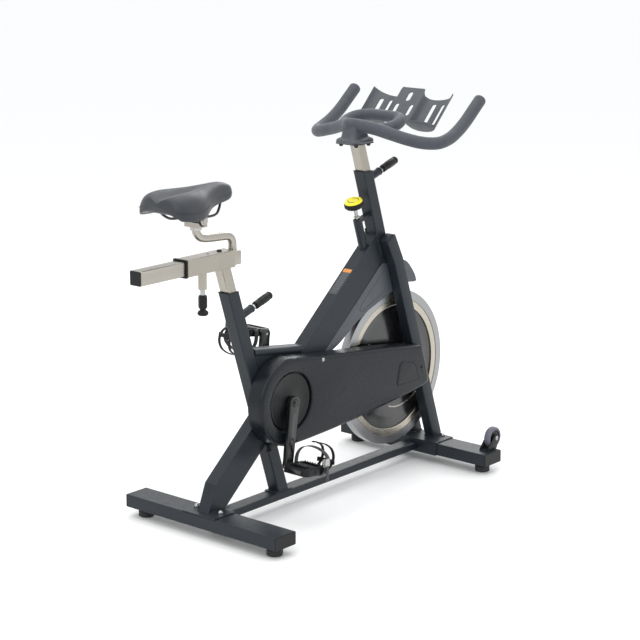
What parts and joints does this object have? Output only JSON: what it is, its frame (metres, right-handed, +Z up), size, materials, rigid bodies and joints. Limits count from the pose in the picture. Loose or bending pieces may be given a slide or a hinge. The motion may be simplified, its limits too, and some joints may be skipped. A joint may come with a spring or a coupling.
{
  "type": "indoor exercise bike",
  "caption": "Indoor spin bike: square-tube frame, rim-weighted flywheel under a belt cover, sliding saddle and handlebar posts, toe-strap pedals, friction brake knob.",
  "frame": {"origin": "floor level under the middle of the bike's overall length and width", "axes": "+X forward towards the handlebar, +Y to the rider's left, +Z up"},
  "size_m": [1.2748, 0.5562, 1.1318],
  "materials": {
    "powder_coat": "satin powder coat",
    "cover_plastic": "semi-gloss moulded",
    "grey_plastic": "fine matte texture",
    "black_plastic": "matte moulded",
    "rubber": "matte",
    "satin_steel": "satin",
    "machined_steel": "machined",
    "black_iron": "gloss black paint",
    "alloy_black": "black gloss",
    "bar_foam": "matte foam",
    "saddle_skin": "soft satin polyurethane",
    "yellow_cap": "gloss",
    "felt": "wool felt",
    "belt_rubber": "matte",
    "wheel_grey": "matte",
    "webbing": "woven"
  },
  "bodies": {
    "frame": {"rear_stabilizer": "powder_coat", "front_stabilizer": "powder_coat", "rear_end_cap_left": "black_plastic", "rear_end_cap_right": "black_plastic", "front_end_cap_left": "black_plastic", "front_end_cap_right": "black_plastic", "base_rail": "powder_coat", "front_channel_bracket": "powder_coat", "main_beam": "powder_coat", "seat_tube": "powder_coat", "lower_strut": "powder_coat", "head_tube": "powder_coat", "fork_leg_left": "powder_coat", "fork_leg_right": "powder_coat", "top_bar": "powder_coat", "bottom_bracket_shell": "powder_coat", "belt_cover_outer": "cover_plastic", "belt_cover_inner": "black_plastic", "flywheel_guard": "grey_plastic", "seat_tube_bushing": "black_plastic", "head_tube_bushing": "black_plastic", "transport_bracket_left": "powder_coat", "transport_bracket_right": "powder_coat", "drive_belt": "belt_rubber"},
    "seat_post": {"seat_post": "satin_steel", "slider_collar": "black_plastic"},
    "seat_slider": {"saddle_slider": "satin_steel", "slider_end_cap": "black_plastic", "saddle_clamp": "satin_steel"},
    "saddle": {"saddle": "saddle_skin", "saddle_rails": "alloy_black"},
    "handlebar_assembly": {"handlebar_post": "satin_steel", "handlebar_mount": "powder_coat", "handlebar": "bar_foam", "tablet_holder": "powder_coat"},
    "flywheel": {"flywheel_disc": "black_iron", "flywheel_ring": "machined_steel", "flywheel_pulley": "machined_steel", "flywheel_axle": "machined_steel"},
    "crankset": {"crank_axle": "machined_steel", "crank_right": "alloy_black", "crank_left": "alloy_black", "drive_pulley": "cover_plastic"},
    "pedal_right": {"pedal_right": "black_plastic", "toe_strap_right": "webbing"},
    "pedal_left": {"pedal_left": "black_plastic", "toe_strap_left": "webbing"},
    "brake": {"brake_rod": "machined_steel", "brake_pad": "felt"},
    "resistance_knob": {"resistance_knob": "yellow_cap"},
    "pull_pin_seat_height": {"pull_pin_seat_height": "black_plastic"},
    "pull_pin_seat_slide": {"pull_pin_seat_slide": "black_plastic"},
    "pull_pin_handlebar": {"pull_pin_handlebar": "black_plastic"},
    "transport_wheel_left": {"transport_wheel_left": "wheel_grey"},
    "transport_wheel_right": {"transport_wheel_right": "wheel_grey"},
    "rear_foot_left": {"rear_foot_left": "rubber"},
    "rear_foot_right": {"rear_foot_right": "rubber"},
    "front_foot_left": {"front_foot_left": "rubber"},
    "front_foot_right": {"front_foot_right": "rubber"}
  },
  "joints": [
    {"name": "seat_height", "type": "slide", "parent": "frame", "child": "seat_post", "axis": [-0.3095, 0, 0.9509], "range_m": [-0.05, 0.13]},
    {"name": "seat_fore_aft", "type": "slide", "parent": "seat_post", "child": "seat_slider", "axis": [1, 0, 0], "range_m": [0, 0.12]},
    {"name": "saddle_tilt", "type": "hinge", "parent": "seat_slider", "child": "saddle", "pos_m": [-0.4151, 0, 0.8715], "axis": [0, 1, 0], "range_deg": [-10, 10]},
    {"name": "handlebar_height", "type": "slide", "parent": "frame", "child": "handlebar_assembly", "axis": [-0.3095, 0, 0.9509], "range_m": [-0.03, 0.1]},
    {"name": "flywheel_spin", "type": "hinge", "parent": "frame", "child": "flywheel", "pos_m": [0.4049, 0, 0.3117], "axis": [0, 1, 0], "continuous": true},
    {"name": "crank_spin", "type": "hinge", "parent": "frame", "child": "crankset", "pos_m": [-0.1231, 0, 0.329], "axis": [0, 1, 0], "continuous": true},
    {"name": "pedal_right_spin", "type": "hinge", "parent": "crankset", "child": "pedal_right", "pos_m": [-0.1656, -0.155, 0.16441], "axis": [0, 1, 0], "continuous": true},
    {"name": "pedal_left_spin", "type": "hinge", "parent": "crankset", "child": "pedal_left", "pos_m": [-0.0806, 0.124, 0.49359], "axis": [0, 1, 0], "continuous": true},
    {"name": "brake_push", "type": "slide", "parent": "frame", "child": "brake", "axis": [0.3095, 0, -0.9509], "range_m": [0, 0.005], "stiffness_N_per_m": 900, "springref_m": -0.012},
    {"name": "knob_turn", "type": "hinge", "parent": "brake", "child": "resistance_knob", "pos_m": [0.23761, 0, 0.80653], "axis": [-0.3095, 0, 0.9509], "range_deg": [0, 1440]},
    {"name": "seat_height_pin_pull", "type": "slide", "parent": "frame", "child": "pull_pin_seat_height", "axis": [0.9509, 0, 0.3095], "range_m": [0, 0.01], "stiffness_N_per_m": 500, "springref_m": -0.008},
    {"name": "seat_slide_pin_pull", "type": "slide", "parent": "seat_post", "child": "pull_pin_seat_slide", "axis": [0, 0, -1], "range_m": [0, 0.01], "stiffness_N_per_m": 500, "springref_m": -0.008},
    {"name": "handlebar_pin_pull", "type": "slide", "parent": "frame", "child": "pull_pin_handlebar", "axis": [0.9509, 0, 0.3095], "range_m": [0, 0.01], "stiffness_N_per_m": 500, "springref_m": -0.008},
    {"name": "transport_wheel_left_spin", "type": "hinge", "parent": "frame", "child": "transport_wheel_left", "pos_m": [0.5879, 0.248, 0.0975], "axis": [0, 1, 0], "continuous": true},
    {"name": "transport_wheel_right_spin", "type": "hinge", "parent": "frame", "child": "transport_wheel_right", "pos_m": [0.5879, -0.248, 0.0975], "axis": [0, 1, 0], "continuous": true},
    {"name": "rear_foot_left_turn", "type": "hinge", "parent": "frame", "child": "rear_foot_left", "pos_m": [-0.383, 0.2392, 0.012], "axis": [0, 0, 1], "range_deg": [-180, 180]},
    {"name": "rear_foot_right_turn", "type": "hinge", "parent": "frame", "child": "rear_foot_right", "pos_m": [-0.383, -0.2392, 0.012], "axis": [0, 0, 1], "range_deg": [-180, 180]},
    {"name": "front_foot_left_turn", "type": "hinge", "parent": "frame", "child": "front_foot_left", "pos_m": [0.5511, 0.2392, 0.012], "axis": [0, 0, 1], "range_deg": [-180, 180]},
    {"name": "front_foot_right_turn", "type": "hinge", "parent": "frame", "child": "front_foot_right", "pos_m": [0.5511, -0.2392, 0.012], "axis": [0, 0, 1], "range_deg": [-180, 180]}
  ],
  "couplings": [
    {"joint": "crank_spin", "follows": "flywheel_spin", "ratio": 0.3125}
  ]
}
